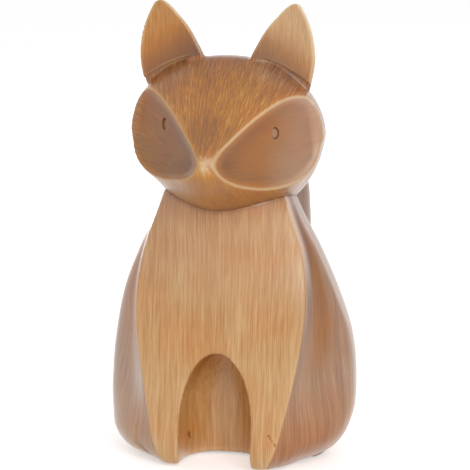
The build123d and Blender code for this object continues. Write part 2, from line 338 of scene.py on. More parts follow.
def head_part(shares, start, depth):
    """Upright outlines of the head, one behind another: a crown arc down to the brow, a mask or cheek
    that bends in or out as a parabola, and a chin that runs flat and then turns up to the rim."""
    along, brow_x, brow_z, crown_z, rim_x, rim_z, chin_z, jaw, hollow = carried(shares, head_steps)
    half = head_width / 2
    brow = brow_x * half + 1j * (head_bottom_height + brow_z * head_height)
    rim = rim_x * half + 1j * (head_bottom_height + rim_z * head_height)
    low = 1j * (head_bottom_height + chin_z * head_height)
    t = np.linspace(0, 1, brow_column, endpoint=False)[None, :]
    down = np.linspace(1, 0, 25)[None, :]
    crown = tangent_arc(head_bottom_height + crown_z * head_height, brow, t)
    mask = brow + (rim - brow) * t - 4 * t * (1 - t) * hollow * mask_hollow
    chin = low * (1 - down) ** 2 + 2 * (jaw * rim.real + low) * down * (1 - down) + rim * down**2
    outline = whole_ring(np.concatenate([crown, mask, chin], axis=1))
    return ringed(outline.real, start + along * depth, outline.imag)


def head_rings():
    """The face and the skull, which meet at the widest part of the cheeks."""
    face = head_part(face_row_shares, -nose_reach, face_depth)
    skull = head_part(skull_row_shares, face_seam, skull_depth)
    return np.concatenate([face, skull[1:]])


def tail_rings():
    """Level ellipses carried up the tail."""
    rise, wide, back, deep = carried(tail_row_shares, 12)
    turn = np.linspace(0, 2 * math.pi, 96, endpoint=False)[None, :]
    half_depth = deep * tail_depth / 2
    across = wide * tail_width / 2 * np.cos(turn)
    along = back * tail_back_reach - half_depth + half_depth * np.sin(turn)
    return ringed(across, along, foot_gap + rise * tail_height)


def ear_rings(side):
    """Level outlines of one ear: a front scooped between two rims, and half an ellipse behind it."""
    rise, inner, outer, thick = carried(ear_row_shares, 10)
    middle = ear_offset + (inner + outer) / 2 * ear_half_width
    half = (outer - inner) / 2 * ear_half_width
    front = ear_lean * rise - ear_face_reach
    s = np.linspace(-1, 1, 28)[None, :]
    turn = np.linspace(0, math.pi, 40)[None, :]
    scoop = ear_scoop * (1 - s**2) ** 0.8 * smoothstep(0.25, 0.6, rise) * fading(0.8, 1.0, rise)
    across = np.concatenate([middle + half * s, middle + half * np.cos(turn)], axis=1)
    depth = thick * ear_thickness - ear_rim
    along = np.concatenate([front + scoop, front + ear_rim + depth * np.sin(turn)], axis=1)
    return ringed(side * across, along, ear_base_height + rise * ear_height)


def pocket_rings():
    """The arch between the forelegs carried backwards, drawn in along a quarter round at its end."""
    back = pocket_depth - body_front_reach
    turn = np.linspace(0, math.pi / 2, 14)
    inset = np.append(0, pocket_round * (1 - np.cos(turn)))[:, None]
    reach = np.append(-body_front_reach - 6, back - pocket_round * (1 - np.sin(turn)))[:, None]
    arch = np.linspace(0, math.pi, 49)[None, :]
    across = (pocket_width / 2 - inset) * np.cos(arch)
    height = pocket_spring_height + (pocket_height - pocket_spring_height - inset) * np.sin(arch)
    low = np.full_like(across[:, :1], -6.0)
    across = np.concatenate([across[:, :1], across, across[:, -1:]], axis=1)
    height = np.concatenate([low, height, low], axis=1)
    return ringed(across, reach, height)


def seat_rings():
    """Recess for the base plate: the foot's outline drawn in, straight in front."""
    level = body_level(carried(body_row_shares[:3], 1)[:, :1], seat_inset)
    height = np.array([[-2.0], [foot_gap + seat_depth]])
    return ringed(level.real, np.maximum(level.imag, -seat_front), height)


def disc_rings(place, radius, low, high):
    """A plain upright cylinder."""
    turn = np.linspace(0, 2 * math.pi, 48, endpoint=False)[None, :]
    across, along = place[0] + radius * np.cos(turn), place[1] + radius * np.sin(turn)
    return ringed(across, along, np.array([[low], [high]]))


def eye_frame(side):
    """The middle of an eye with its directions across, up and out of the mask."""
    turn, lean = math.radians(eye_turn), math.radians(eye_lean)
    level = math.cos(lean)
    out = np.array([side * math.sin(turn) * level, -math.cos(turn) * level, math.sin(lean)])
    up = np.array([0.0, 0.0, 1.0]) - out * out[2]
    up = up / np.linalg.norm(up)
    across = np.cross(up, out)
    middle = np.array([side * eye_offset, -eye_reach, eye_height])
    return middle + eye_stray[side][0] * across + eye_stray[side][1] * up, across, up, out


def eye_rings(side, radii_share, depths, growth):
    """Ellipses in the plane of an eye, one above another along its outward direction."""
    middle, across, up, out = eye_frame(side)
    turn = np.linspace(0, 2 * math.pi, 40, endpoint=False)[None, :, None]
    share = np.array(radii_share)[:, None, None]
    wide = (eye_breadth / 2 + growth) * share * np.cos(turn) * across
    tall = (eye_length / 2 + growth) * share * np.sin(turn) * up
    return middle + wide + tall + np.array(depths)[:, None, None] * out


def linked(name, data):
    """A new object in the scene."""
    made = bpy.data.objects.new(name, data)
    bpy.context.scene.collection.objects.link(made)
    return made


def solid(name, rings):
    """A closed mesh from closed rings, each end drawn together in a pole, with its faces outwards."""
    count, around = rings.shape[:2]
    poles = np.stack([rings[0].mean(0), rings[-1].mean(0)])
    points = np.concatenate([rings.reshape(-1, 3), poles])
    row, column = np.meshgrid(np.arange(count - 1), np.arange(around), indexing="ij")
    here, there = row * around + column, row * around + (column + 1) % around
    wall = np.stack([here, there, there + around, here + around], axis=2).reshape(-1, 4)
    ring = np.arange(around)
    turned = (ring + 1) % around
    first = np.stack([turned, ring, np.full(around, count * around)], axis=1)
    last_row = (count - 1) * around
    last = np.stack([ring + last_row, turned + last_row, np.full(around, count * around + 1)], axis=1)
    a, b, c, d = points[wall].transpose(1, 0, 2)
    middle = points.mean(0)
    volume = (np.cross(b - a, c - a) * (a - middle)).sum() + (np.cross(c - a, d - a) * (a - middle)).sum()
    faces = wall.tolist() + first.tolist() + last.tolist()
    if volume < 0:
        faces = [face[::-1] for face in faces]
    mesh = bpy.data.meshes.new(name)
    mesh.from_pydata((points * metre).tolist(), [], faces)
    return linked(name, mesh)


def finished(piece):
    """The piece with its modifiers worked into its mesh."""
    bpy.context.view_layer.update()
    shape = piece.evaluated_get(bpy.context.evaluated_depsgraph_get())
    mesh = bpy.data.meshes.new_from_object(shape)
    piece.modifiers.clear()
    piece.data = mesh
    return piece


def joined(piece, tools, operation):
    """The piece with other closed forms added to it or taken from it, one after another."""
    for tool in tools:
        step = piece.modifiers.new("join", "BOOLEAN")
        step.operation = operation
        step.solver = "MANIFOLD"
        step.object = tool
    finished(piece)
    for tool in tools:
        bpy.data.objects.remove(tool)
    return piece


def relaxed(points, edges, passes):
    """Each point moves half way to the mean of its neighbours, so many times."""
    count = np.bincount(edges.ravel(), minlength=len(points))
    first, second = edges.T
    for _ in range(passes):
        total = [
            np.bincount(first, points[second, axis], len(points))
            + np.bincount(second, points[first, axis], len(points))
            for axis in range(3)
        ]
        points = (points + np.stack(total, axis=1) / count[:, None]) / 2
    return points


def mesh_points(mesh):
    """The places of a mesh's points, one row each."""
    points = np.zeros(len(mesh.vertices) * 3)
    mesh.vertices.foreach_get("co", points)
    return points.reshape(-1, 3)


def mesh_edges(mesh):
    """The two points of each of a mesh's edges."""
    edges = np.zeros(len(mesh.edges) * 2, dtype=np.int64)
    mesh.edges.foreach_get("vertices", edges)
    return edges.reshape(-1, 2)


def cast(piece, node, worked=None):
    """The form as a casting: an even skin of small faces with its ridges and corners rounded, worked over,
    and kept inside the box of the CAD node that it stands for."""
    fine, rough = casting_skins[node]
    grain, passes = fine
    skin = piece.modifiers.new("skin", "REMESH")
    skin.mode = "VOXEL"
    skin.voxel_size = grain * metre
    finished(piece)
    mesh = piece.data
    low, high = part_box(node)
    points = relaxed(mesh_points(mesh), mesh_edges(mesh), passes)
    if worked:
        points = worked(points / metre) * metre
    points = np.clip(points, np.array(low), np.array(high))
    mesh.vertices.foreach_set("co", points.astype(np.float32).ravel())
    mesh.update()
    return piece


def off_line(points, line, axis):
    """How far points lie from a line: their gap to its point at the same height or depth,
    without the share of the gap that runs along the line."""
    run = np.gradient(line, axis=0)
    run = run / np.linalg.norm(run, axis=1, keepdims=True)
    parts = np.concatenate([line, run], axis=1).T
    read = [np.interp(points[:, axis], line[:, axis], part) for part in parts]
    middle, way = np.array(read).reshape(2, 3, -1).transpose(0, 2, 1)
    gap = points - middle
    return np.sqrt(np.maximum((gap**2).sum(1) - (gap * way).sum(1) ** 2, 0))


def off_form(points, others):
    """How far points lie from the nearest of other points, worked out in blocks."""
    near = np.empty(len(points))
    square = (others**2).sum(1)
    for start in range(0, len(points), 2000):
        block = points[start : start + 2000]
        least = ((block**2).sum(1)[:, None] + square - 2 * block @ others.T).min(1)
        near[start : start + 2000] = np.sqrt(np.maximum(least, 0))
    return near


def near_part(points, others, reach):
    """The least distance from each point to other points, or the reach where none is that near."""
    low, high = others.min(0) - reach, others.max(0) + reach
    close = ((points > low) & (points < high)).all(1)
    low, high = points.min(0) - reach, points.max(0) + reach
    others = others[((others > low) & (others < high)).all(1)]
    distance = np.full(len(points), float(reach))
    if close.any() and len(others):
        distance[close] = np.minimum(off_form(points[close], others), reach)
    return distance


def arc_over(side, height, radius):
    """Height of an arc over the head, which is highest in the middle."""
    return height - radius + np.sqrt(np.maximum(radius**2 - side**2, 0))


def mask_gaps(points):
    """Whether points lie in a mask, the distances to its three edges, and how far inside its rounded
    outline they lie: the distances blended as one over the sum of their inverses, less a little at the
    nose, and counted below nothing outside."""
    x, y, z = points.T
    side = np.abs(x)
    half = np.stack([side, y, z], axis=1)
    last = head_steps * (len(face_row_shares) - 1)
    brow, rim = head_rings()[: last + 1, [brow_column, rim_column]].transpose(1, 0, 2)
    inside = (z < np.interp(y, *brow[:, 1:].T)) & (z > np.interp(y, *rim[:, 1:].T)) & (y < face_seam)
    beyond = np.maximum(np.maximum(z - brow[-1, 2], rim[-1, 2] - z), 0)
    gaps = np.stack([off_line(half, brow, 1), off_line(half, rim, 1), np.hypot(y - face_seam, beyond)])
    weight = np.array([[1.0], [1.0], [2.5]])
    blended = 1 / (1 / np.maximum(gaps * weight, 0.05)).sum(0)
    corner = mask_corner * bell(off_nose(x, y, z), 3.5 * mask_rim_breadth) * np.where(x > 0, 1.0, 0.45)
    return inside, gaps, np.where(inside, blended - corner, -gaps.min(0) - corner)


def off_nose(x, y, z):
    """How far points lie from the tip of the nose."""
    return np.sqrt(x**2 + (y + nose_reach) ** 2 + (z - nose_height) ** 2)


def face_stray(points):
    """How far the cast face strays from its matched halves: the mask's lower rim up on the fox's right
    and down on its left, the right temple up, the left cheek in and the crown down."""
    x, y, z = points.T
    front = fading(face_seam, 0, y)
    low = bell(z - 134, 12) * smoothstep(122, 131, z) * front
    rise = low * (1.9 * smoothstep(4, 18, -x) - 1.0 * smoothstep(8, 30, x))
    rise = rise + 1.4 * bell(z - 170, 8) * smoothstep(26, 36, -x) * front
    rise = rise - 0.9 * bell(x, 16) * smoothstep(182, 189, z)
    return np.stack([-1.2 * smoothstep(35, 45, x) * bell(z - 160, 16), 0 * y, rise], axis=1)


def head_worked(points):
    """The masks' rims raised and their fields lowered, the forehead let in below the crest so that the
    ears' lower edge stands out, and both halves set where they were cast."""
    x, y, z = points.T
    side = np.abs(x)
    inside, _, blended = mask_gaps(points)
    turn = math.radians(eye_turn)
    ahead, up = np.full_like(x, -math.cos(turn)), np.full_like(x, 0.14)
    out = np.stack([np.sign(x) * math.sin(turn), ahead, up], axis=1)
    field = inside * smoothstep(0.4 * mask_rim_breadth, 1.5 * mask_rim_breadth, blended)
    rise = mask_rim_rise * bell(blended, 1.5) * (y < face_seam + 3) - mask_field_depth * field
    crest = arc_over(side, crest_height, crest_radius)
    over = z - arc_over(side, root_height, root_radius)
    run = np.minimum(cove_slope * (np.hypot(over, 1.0) + over) / 2, cove_depth)
    band = run * fading(0, 0.9, z - crest) * fading(2, 4, y + ear_face_reach)
    cove = band * smoothstep(13, 22, side)
    return points + rise[:, None] * out + cove[:, None] * np.array([0, 1, 0]) + face_stray(points)


def body_worked(points):
    """The foot of the flanks set a little towards the fox's right, most of all at the bottom."""
    x, y, z = points.T
    low = np.clip(1 - z / foot_stray_height, 0, 1) ** 1.5
    flank = smoothstep(30, 42, np.abs(x)) * (y > -pocket_depth)
    return points - foot_stray * (low * flank)[:, None] * np.array([1, 0, 0])


def paint_marks(
    piece, stroke, tone, wash_and_shade=0, ridge=far_from_ridge, picked=0, warmth=0, brushed=usual_brush, glazed=1
):
    """What the painter's hand follows, kept on the points of a casting: the run of the brush, the tone,
    with some painted light and shade, the wash in its hollows together with painted shade, the distance to
    its ridges and how clearly they are picked out, the warmth, how strongly the brush shows, and how thick
    the clear coat lies."""
    mesh = piece.data
    values = (tone, wash_and_shade, ridge, picked, warmth, brushed, glazed)
    for name, value in zip(mark_names, values):
        spread = np.broadcast_to(value, len(mesh.vertices)).astype(np.float32)
        mesh.attributes.new(name, "FLOAT", "POINT").data.foreach_set("value", spread)
    run = mesh.attributes.new("stroke", "FLOAT_VECTOR", "POINT")
    run.data.foreach_set("vector", stroke.astype(np.float32).ravel())
    mesh.shade_smooth()
    mesh.set_sharp_from_angle(angle=math.radians(50))


def chosen(where, first, second):
    """The rows of the first array where a condition holds, and of the second elsewhere."""
    return np.where(where[:, None], first, second)


def upright_strokes(points):
    """Brush strokes that run up and down over a front or a back: nothing changes with the depth."""
    return points * np.array([1, 0, 1 / brush_length])


def round_strokes(points, run, middle, reach):
    """Brush strokes that run along one axis round a middle line: where a point looks from the line, set
    on a circle of the given reach, so that nothing changes with the form's width."""
    first, second = [axis for axis in range(3) if axis != run]
    turn = np.arctan2(points[:, second] - middle[1], points[:, first] - middle[0])
    strokes = points / brush_length
    strokes[:, first] = reach * np.cos(turn)
    strokes[:, second] = reach * np.sin(turn)
    return strokes


def drawn_together(across, along, reach, power, length):
    """Brush strokes that run along one way and draw together towards its start: what lies across is
    divided by a power of the distance, so that they are nearly parallel far out."""
    spread = (np.maximum(along, 0) + 3.0) / reach
    return np.stack([across / spread**power, np.zeros_like(across), along / length], axis=1)


def arch_gap(x, z):
    """How far points lie outside the arch between the forelegs, seen from the front."""
    rise = np.maximum(z - pocket_spring_height, 0) / (pocket_height - pocket_spring_height)
    share = np.hypot(x / (pocket_width / 2), rise)
    return (share - 1) * (pocket_width / 2 + 6 * rise)


def body_marks(piece, head_points):
    """Light chest and forelegs, flanks darker in their valley, painted lighter on the fox's right and
    darker high on its left as painted light and shade; a warm pocket painted lighter against the shade in
    it, with painted shade towards its top; its lip and the ridges are picked out, with a wash and painted
    shade below the chin and in the pocket under its lip, and a wash beside the ridges."""
    points = mesh_points(piece.data) / metre
    x, y, z = points.T
    side = np.abs(x)
    fox_left = x > 0
    forward = y < 0
    chest, ridge, edge = body_rings()[:, [0, ridge_column, widest_column]].transpose(1, 0, 2)

    # Where a point lies: on the front, in the flank's valley, in the pocket, near the head
    ridge_gap = off_line(np.stack([side, y, z], axis=1), ridge, 2)
    ridge_side = np.interp(z, ridge[:, 2], ridge[:, 0])
    past_ridge = side - ridge_side
    front = fading(-0.6, 0.6, past_ridge) * forward
    valley = bell(past_ridge / (np.interp(z, edge[:, 2], edge[:, 0]) - ridge_side) - 0.33, 0.3)
    high = smoothstep(20, 95, z)
    lip_gap = arch_gap(x, z)
    behind_chest = y > np.interp(z, chest[:, 2], chest[:, 1]) + 2.0
    inside = (lip_gap < 0.4) & behind_chest & (y < pocket_depth - body_front_reach + 1)
    neck_gap = near_part(points, head_points, mark_reach)

    # Painted light and shade: the flank is painted lighter on the fox's right and darker high up on its
    # left
    flank = flank_tone - 0.05 * valley * high - 0.02 * high + np.where(fox_left, -0.045 * high, 0.05)
    # Painted light and shade in the pocket: painted lighter against its shade, with painted shade towards
    # the arch's top, and lighter just above its floor
    pocket = pocket_tone_painted_light - 0.04 * smoothstep(25, 50, z) + 0.06 * fading(2.0, 5.0, z)
    light = chest_tone + 0.03 * fading(30, 75, z) - 0.01 * smoothstep(90, 110, z)
    tone = front * (light + 0.02 * bell(ridge_gap, 4.0)) + (1 - front) * flank
    tone = np.where(inside, pocket, tone) + 0.02 * fading(2.0, 9.0, z) * forward

    # A dark wash in the joint below the chin, with wider painted shade on the body under it
    wash_and_shade = 0.5 * bell(neck_gap, 1.4) + 0.4 * bell(neck_gap, 6.5)
    # Painted shade inside the pocket, under the arch's lip
    wash_and_shade = wash_and_shade + 0.5 * inside * bell(lip_gap + 0.6, 0.9) * smoothstep(30, 50, z)
    clearer = 0.35 + 0.2 * fox_left
    beside = bell(past_ridge - 1.3, 0.8) * forward * smoothstep(25, 80, z) * clearer
    wash_and_shade = wash_and_shade + beside * smoothstep(2, 8, neck_gap)

    # The light lines follow the ridge or, where that is nearer, the pocket's lip
    ridge_gap = np.where(inside, far_from_ridge, ridge_gap)
    picked = clearer * forward * smoothstep(0.0, 6.0, neck_gap)
    lip = np.abs(lip_gap - 0.3) + 0.3
    near_lip = (lip < ridge_gap) & (y < -body_front_reach * 0.6) & ~inside
    picked = np.where(near_lip, 0.35 * fading(38, 50, z), picked)
    ridge_gap = np.where(near_lip, lip, ridge_gap) * body_line_fineness

    warm_front = 0.7 + 0.2 * fading(60, 100, z)
    warm_flank = 0.2 + 1.35 * valley * high + 0.4 * fading(15, 45, z)
    warmth = warm_front * front + (1 - front) * warm_flank * np.where(fox_left, 1.0, 0.7)
    warmth = np.where(inside, 0.92, warmth)

    stroke = chosen(front > 0.5, upright_strokes(points), round_strokes(points, 2, (0, 5), 45.0))
    stroke = chosen(inside, points * np.array([1, 1, 1 / brush_length]) + 90, stroke)
    paint_marks(piece, stroke, tone, wash_and_shade, ridge_gap, picked, warmth)


def ear_edges(height):
    """How far inwards and outwards an ear reaches at each height."""
    rise, inner, outer = carried(ear_row_shares, 10)[:3, :, 0]
    place = ear_base_height + rise * ear_height
    return [np.interp(height, place, ear_offset + edge * ear_half_width) for edge in (inner, outer)]


def head_strokes(points, ear, face, above, mask, below):
    """The brush fans out from the nose over forehead and chin, sweeps outwards over the masks, stands
    upright on the ears and runs backwards over the skull."""
    x, y, z = points.T
    side = np.abs(x)
    rise = z - nose_height
    slope = math.radians(14)
    out = side * math.cos(slope) + rise * math.sin(slope)
    over = rise * math.cos(slope) - side * math.sin(slope)
    fan = drawn_together(x, rise, 46.0, 0.42, 8.0)
    sweep = drawn_together(over, out, 30.0, 0.3, 13.0) + np.array([70, 0, 0]) * np.sign(x)[:, None]
    under = drawn_together(x, -rise, 26.0, 0.4, 13.0) + np.array([0, 40, 0])
    on_ear, on_face = ear > 0.5, face > 0.5
    stroke = chosen(on_ear, upright_strokes(points) * (1.3, 1, 2), round_strokes(points, 1, (0, 150), 40.0))
    stroke = chosen(on_face & ~on_ear & (above > 0.5), fan, stroke)
    stroke = chosen(mask > 0.5, sweep, stroke)
    return chosen(on_face & (below > 0.5), under, stroke)


def head_marks(piece, body_points):
    """A strongly brushed forehead, darker towards the crest and above the nose, with painted shade darker
    still high on the fox's left; smooth masks, painted lighter on the fox's left and darker on its right as
    painted light and shade; ears lighter towards their tips, the ear on the fox's left painted lighter and
    the one on its right darker as painted light and shade; rims, crest and ears' edges picked out; a wash
    and painted shade below the chin and under the ears' lower edge."""
    points = mesh_points(piece.data) / metre
    points = points - face_stray(points)
    x, y, z = points.T
    side = np.abs(x)
    fox_left = x > 0
    broad = side / (head_width / 2)
    brow, rim = head_rings()[:, [brow_column, rim_column]].transpose(1, 0, 2)

    # Where a point lies: on the face, above the brow, in a mask, below the rim or on an ear
    face = fading(face_seam - 0.5, face_seam + 0.9, y)
    above = smoothstep(-paint_edge, paint_edge, z - np.interp(y, *brow[:, 1:].T))
    below = smoothstep(-paint_edge, paint_edge, np.interp(y, *rim[:, 1:].T) - z)
    mask = face * (1 - above) * (1 - below)
    crest = arc_over(side, crest_height, crest_radius)
    ear = smoothstep(-0.3, 0.3, z - crest) * (side > 12)
    bare = 1 - ear
    ear_rise = (z - crest) / (ear_base_height + ear_height - crest)
    outward = np.clip((side - ear_offset) / ear_half_width, -1, 1)
    nose_gap = off_nose(x, y, z)
    neck_gap = near_part(points, body_points, mark_reach)
    inside, (brow_gap, _, seam_gap), blended = mask_gaps(points)

    # Darker towards the crest; painted shade makes it darker still on the fox's left
    forehead = forehead_tone - 0.06 * smoothstep(168, 188, z) * (1 + 0.3 * smoothstep(5, 30, x))
    forehead = forehead + 0.03 * bell(brow_gap, 4.5)
    forehead = forehead - 0.07 * bell(nose_gap - 15, 9.0) + 0.015 * bell(nose_gap - 34, 10.0)
    field = mask_tone + 0.05 * smoothstep(0.5, 0.9, broad) + 0.01 * smoothstep(150, 170, z)
    # Painted light and shade: the mask on the fox's right is painted darker, the one on its left a little
    # lighter
    field = field + np.where(fox_left, 0.012, -0.035)
    chin = chin_tone + 0.05 * bell(nose_gap, 9.0) - 0.03 * smoothstep(10, 30, nose_gap)
    tone = face * (above * forehead + below * chin) + mask * field + (1 - face) * skull_tone
    ear_light = smoothstep(-0.15, 0.75, ear_rise + 0.2 * outward)
    # Painted light and shade: the ear on the fox's left is painted lighter, the one on its right darker
    tone = bare * tone + ear * (ear_tone + 0.035 * np.sign(x) + 0.28 * ear_light)
    rim_band = fading(0.7 * mask_rim_breadth, 1.4 * mask_rim_breadth, np.abs(blended))
    tone = tone + 0.05 * rim_band * face * bare * np.where(inside, 1.0, 0.5)
    below_nose = np.hypot(x, z - nose_height + 3.5)
    tone = tone + 0.16 * bell(nose_gap, 2.8) + 0.09 * bell(below_nose, 4.5) * face

    # The light lines follow the masks' rims or, where they are nearer, the crest and the ears' edges
    ridge_gap = np.abs(blended)
    cheek_break = 1 - 0.7 * bell(y - face_seam, 6.0) * (seam_gap < 3)
    picked = face * np.where(x < 0, 0.6, 0.8) * bare * cheek_break
    crest_gap = np.hypot(z - crest - 0.6, np.maximum(np.abs(y + ear_face_reach - 0.5) - 2.5, 0))
    on_crest = (crest_gap < ridge_gap) & (side > 12) & (y < -ear_face_reach + 4)
    picked = np.where(on_crest, 0.6 * smoothstep(15, 24, side), picked)
    ridge_gap = np.where(on_crest, crest_gap, ridge_gap)
    inner, outer = ear_edges(z)
    edge_gap = np.minimum(side - inner, outer - side) - 0.6
    on_edge = (ear > 0.5) & (edge_gap < ridge_gap) & (y < -ear_face_reach + ear_lean + 2)
    picked = np.where(on_edge, 0.55, picked)
    ridge_gap = np.where(on_edge, np.abs(edge_gap), ridge_gap)

    crest_front = y + ear_face_reach
    # Painted shade on the forehead under the ears' lower edge, below the crest
    shade_under_crest = 0.3 * bell(z - crest + 1.3, 2.2) * bell(crest_front, 3.5) * smoothstep(12, 22, side)
    shade_under_crest = shade_under_crest + 0.15 * bell(z - crest + 4, 4) * bell(crest_front, 6)
    rim_shade = bell(blended - 1.7 * mask_rim_breadth, 2.0) * (1 - 0.6 * smoothstep(14, 40, side))
    # A wash in the joint with the body and wider painted shade beside it, with the painted shade under the
    # crest
    wash_and_shade = 0.5 * bell(neck_gap, 1.4) + 0.3 * bell(neck_gap, 5.5) + shade_under_crest * bare
    wash_and_shade = wash_and_shade + inside * (0.35 * rim_shade + 0.25 * bell(nose_gap - 10.0, 5.0))

    # Part of the masks' painted shade: the warmth is stronger on the mask on the fox's right
    warm_left = 0.9 - 0.6 * smoothstep(0.4, 0.8, broad)
    warm_right = 1.5 - 0.8 * smoothstep(0.6, 0.95, broad)
    warmth = face * (1.1 * above + 1.2 * below) + 0.35 * (1 - face)
    warmth = warmth + mask * np.where(fox_left, warm_left, warm_right)
    warmth = warmth - 0.5 * bell(nose_gap, 3.4) - 0.45 * bell(z - crest + 4, 7) * smoothstep(8, 20, side)
    warmth = bare * warmth + ear * (0.85 - 0.15 * np.sign(x))

    brushed = 1.2 + 1.6 * face * above * bare - mask * np.where(fox_left, 0.8, 0.0)
    brushed = brushed + 0.4 * face * below - 0.2 * ear
    glazed = 1 - mask * np.where(fox_left, 0.2, 0.56)
    stroke = head_strokes(points, ear, face, above, mask, below)
    paint_marks(piece, stroke, tone, wash_and_shade, ridge_gap, picked, warmth, brushed, glazed)


def tail_marks(piece, other_points):
    """The tail grows a little lighter towards its tip, with a wash and painted shade where it nears the
    head and the body.
    """
    points = mesh_points(piece.data) / metre
    near = near_part(points, other_points, 10.0)
    tone = tail_tone + 0.03 * smoothstep(0, tail_height, points[:, 2])
    # A dark wash in the joints and wider painted shade where the tail nears the head and the body
    wash_and_shade = 0.6 * bell(near, 2.0) + 0.25 * bell(near, 6.0)
    paint_marks(piece, round_strokes(points, 2, (0, 40), 28.0), tone, wash_and_shade, warmth=-0.2)


def eye_marks(piece, side):
    """An eye is lighter in its middle, with a dark line inside its edge: a wash in the incised ring and
    painted shade there.
    """
    points = mesh_points(piece.data) / metre
    middle, across, up, _ = eye_frame(side)
    wide, tall = [length / 2 + eye_groove - eye_line for length in (eye_breadth, eye_length)]
    share = np.hypot((points - middle) @ across / wide, (points - middle) @ up / tall)
    tone = eye_tone + 0.04 * side + 0.05 * fading(0.2, 0.75, share)
    # The dark line in the incised ring is partly wash and partly painted shade of the ring
    tone = tone - (0.13 + 0.07 * side) * bell(share - 0.9, 0.07)
    paint_marks(piece, upright_strokes(points), tone, warmth=0.4)


# Paints and finishes


def paint(code):
    """A colour written as six hexadecimal digits, as the shader's linear values."""
    share = np.array([int(code[at : at + 2], 16) for at in (0, 2, 4)]) / 255
    line = np.where(share <= 0.04045, share / 12.92, ((share + 0.055) / 1.055) ** 2.4)
    return (*line.tolist(), 1.0)


class Tree:
    """Short calls for building one node tree."""

    def __init__(self, tree):
        self.tree = tree

    def node(self, kind, inputs=None, **settings):
        made = self.tree.nodes.new(kind)
        for name, value in settings.items():
            setattr(made, name, value)
        for name, value in (inputs or {}).items():
            self.feed(made.inputs[name], value)
        return made

    def feed(self, socket, value):
        if isinstance(value, bpy.types.NodeSocket):
            self.tree.links.new(value, socket)
        else:
            socket.default_value = value

    def math(self, operation, *values, clamp=False):
        made = self.node("ShaderNodeMath", operation=operation, use_clamp=clamp)
        for socket, value in zip(made.inputs, values):
            self.feed(socket, value)
        return made.outputs[0]

    def noise(self, vector, scale, detail=2.0, rough=0.5, distortion=0.0):
        inputs = {"Vector": vector, "Scale": scale, "Detail": detail}
        inputs.update({"Roughness": rough, "Distortion": distortion})
        return self.node("ShaderNodeTexNoise", inputs).outputs["Fac"]

    def span(self, value, low, high, to_low=0.0, to_high=1.0):
        inputs = {"Value": value, "From Min": low, "From Max": high, "To Min": to_low, "To Max": to_high}
        return self.node("ShaderNodeMapRange", inputs, interpolation_type="SMOOTHSTEP").outputs["Result"]

    def bump(self, height, strength, distance):
        inputs = {"Height": height, "Strength": strength, "Distance": distance}
        return self.node("ShaderNodeBump", inputs).outputs["Normal"]

    def surface(self, inputs):
        shader = self.node("ShaderNodeBsdfPrincipled", inputs)
        self.node("ShaderNodeOutputMaterial", {"Surface": shader.outputs[0]})

    def mix(self, share, first, second):
        made = self.node("ShaderNodeMix", {"Factor": share}, data_type="RGBA")
        self.feed(made.inputs[6], first)
        self.feed(made.inputs[7], second)
        return made.outputs[2]


def effect(name, inputs, outputs, build):
    """A shader node group, built once: its inputs by name with their usual values, none for a vector,
    and its outputs, all plain values."""
    tree = bpy.data.node_groups.new(name, "ShaderNodeTree")
    for label, value in inputs.items():
        kind = "NodeSocketVector" if value is None else "NodeSocketFloat"
        socket = tree.interface.new_socket(label, in_out="INPUT", socket_type=kind)
        if value is not None:
            socket.default_value = value
    for label in outputs:
        tree.interface.new_socket(label, in_out="OUTPUT", socket_type="NodeSocketFloat")
    made = Tree(tree)
    start = made.node("NodeGroupInput")
    end = made.node("NodeGroupOutput")
    for label, value in build(made, start.outputs).items():
        made.feed(end.inputs[label], value)
    return tree


def build_strokes(t, given):
    """Brushed wood effect: fine, middle and broad streaks along the stroke, and short dark dashes."""
    along = given["Stroke"]
    fine = t.noise(along, 2.1, 3.0, 0.6)
    middle = t.noise(along, 0.8, 2.0, 0.55)
    broad = t.noise(along, 0.16, 2.0, 0.5)
    hair = t.noise(along, 3.4, 1.0, 0.5)
    dash = t.span(t.math("MULTIPLY", hair, fine), 0.33, 0.43)
    return {"Fine": fine, "Middle": middle, "Broad": broad, "Dashes": dash}


stroke_outputs = ("Fine", "Middle", "Broad", "Dashes")
brush_strokes = effect("brush_strokes", {"Stroke": None}, stroke_outputs, build_strokes)


def build_picked_line(t, given):
    """Light dry brushing along a ridge: full on the ridge, gone at its breadth, broken by the strokes."""
    strayed = t.math("MULTIPLY", t.math("SUBTRACT", given["Fine"], 0.5), 0.8)
    gap = t.math("ADD", given["Gap"], strayed)
    return {"Light": t.span(gap, given["Breadth"], 0.0, 0.0, 1.0)}


line_inputs = {"Gap": far_from_ridge, "Fine": 0.5, "Breadth": 1.25}
picked_line = effect("picked_line", line_inputs, ["Light"], build_picked_line)


def build_nick(t, given):
    """A small pit: full within half its radius of its middle, with a ragged edge."""
    gap = t.node("ShaderNodeVectorMath", operation="DISTANCE")
    t.feed(gap.inputs[0], given["Place"])
    t.feed(gap.inputs[1], given["Middle"])
    ragged = t.math("MULTIPLY", t.math("SUBTRACT", t.noise(given["Place"], 900.0, 2.0), 0.5), 0.9)
    share = t.math("ADD", t.math("DIVIDE", gap.outputs["Value"], given["Radius"]), ragged)
    return {"Pit": t.span(share, 1.0, 0.4, 0.0, 1.0)}


nick = effect("nick", {"Place": None, "Middle": None, "Radius": 0.001}, ["Pit"], build_nick)

# Nicks in the casting, in metres: where they lie and their radius
nicks = [
    ((-0.0171, -0.0214, 0.0120), 0.0017),
    ((-0.0168, -0.0206, 0.0104), 0.0011),
    ((0.0262, -0.0378, 0.0180), 0.0008),
    ((0.0270, -0.0379, 0.0168), 0.0006),
    ((0.0278, -0.0380, 0.0157), 0.0007),
    ((0.0286, -0.0381, 0.0146), 0.0006),
    ((0.0293, -0.0381, 0.0136), 0.0009),
    ((0.0328, -0.0113, 0.2115), 0.0007),
]


